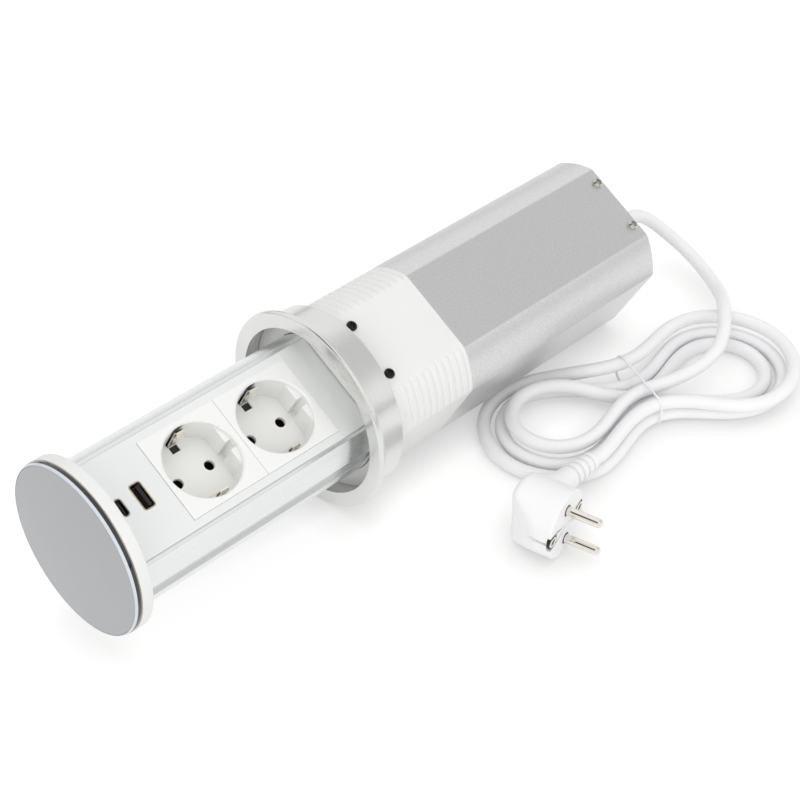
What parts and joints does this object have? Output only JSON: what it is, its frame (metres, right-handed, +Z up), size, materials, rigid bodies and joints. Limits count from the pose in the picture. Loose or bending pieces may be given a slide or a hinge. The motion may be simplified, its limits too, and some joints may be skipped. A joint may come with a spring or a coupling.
{
  "type": "pop-up desk socket",
  "caption": "Round pop-up desk power column: a sprung slide raises earthed mains sockets and charging ports out of a flanged desk cut-out, with a fixed lead and plug.",
  "frame": {"origin": "on the surface that the column lies on, under the middle of the column's own box, lead and plug left out", "axes": "+X runs along the column from the cap to the rear plate, +Z is up, the socket face looks up and towards -Y"},
  "size_m": [0.4276, 0.1939, 0.108],
  "materials": {
    "brushed_aluminium": "brushed disc with a polished chamfer",
    "anodised_aluminium": "fine matt anodised extrusion",
    "pale_aluminium": "pale matt anodised extrusion",
    "white_plastic": "moulded satin white",
    "socket_plastic": "moulded white with a low gloss",
    "grey_plastic": "moulded pale grey",
    "dark_plastic": "moulded near black",
    "bevel_black": "polished black bevel",
    "grey_glass": "grey back-painted glass",
    "band_grey": "satin grey band",
    "steel": "bright zinc plated",
    "black_steel": "black oxide screws",
    "nickel": "nickel plated",
    "brass": "bare brass",
    "buffer_rubber": "moulded rubber",
    "board": "solder masked board",
    "cord_white": "smooth flexible jacket"
  },
  "bodies": {
    "housing": {"desk_flange": "brushed_aluminium", "threaded_sleeve": "white_plastic", "guide_ring": "grey_plastic", "sleeve_screws": "black_steel", "stop_buffer": "buffer_rubber", "housing": "anodised_aluminium", "rear_plate": "grey_plastic", "rear_screws": "steel", "cord_grip": "white_plastic", "gas_spring_cylinder": "black_steel", "push_latch": "dark_plastic", "cord_lead": "cord_white", "cord_hank": "cord_white", "cord_tie": "white_plastic", "plug_boot": "white_plastic", "plug_body": "white_plastic", "plug_pins": "nickel", "plug_earth_clips": "nickel"},
    "carriage": {"carriage_profile": "pale_aluminium", "face_panel": "pale_aluminium", "socket_module_1": "socket_plastic", "socket_module_2": "socket_plastic", "earth_clips_1": "nickel", "earth_clips_2": "nickel", "socket_contacts_1": "brass", "socket_contacts_2": "brass", "contact_carrier_1": "dark_plastic", "contact_carrier_2": "dark_plastic", "wide_port_shell": "steel", "wide_port_tongue": "dark_plastic", "oval_port_shell": "steel", "oval_port_tongue": "dark_plastic", "charger_board": "board", "carriage_head": "grey_plastic", "cap_ring": "white_plastic", "cap_band": "band_grey", "cap_bevel": "bevel_black", "cap_glass": "grey_glass", "cap_screws": "steel", "carriage_foot": "grey_plastic", "latch_striker": "steel", "gas_spring_rod": "steel"}
  },
  "joints": [
    {"name": "pop_up", "type": "slide", "parent": "housing", "child": "carriage", "axis": [0.9994, 0, -0.0344], "range_m": [0, 0.1425], "stiffness_N_per_m": 150, "springref_m": -0.2}
  ]
}
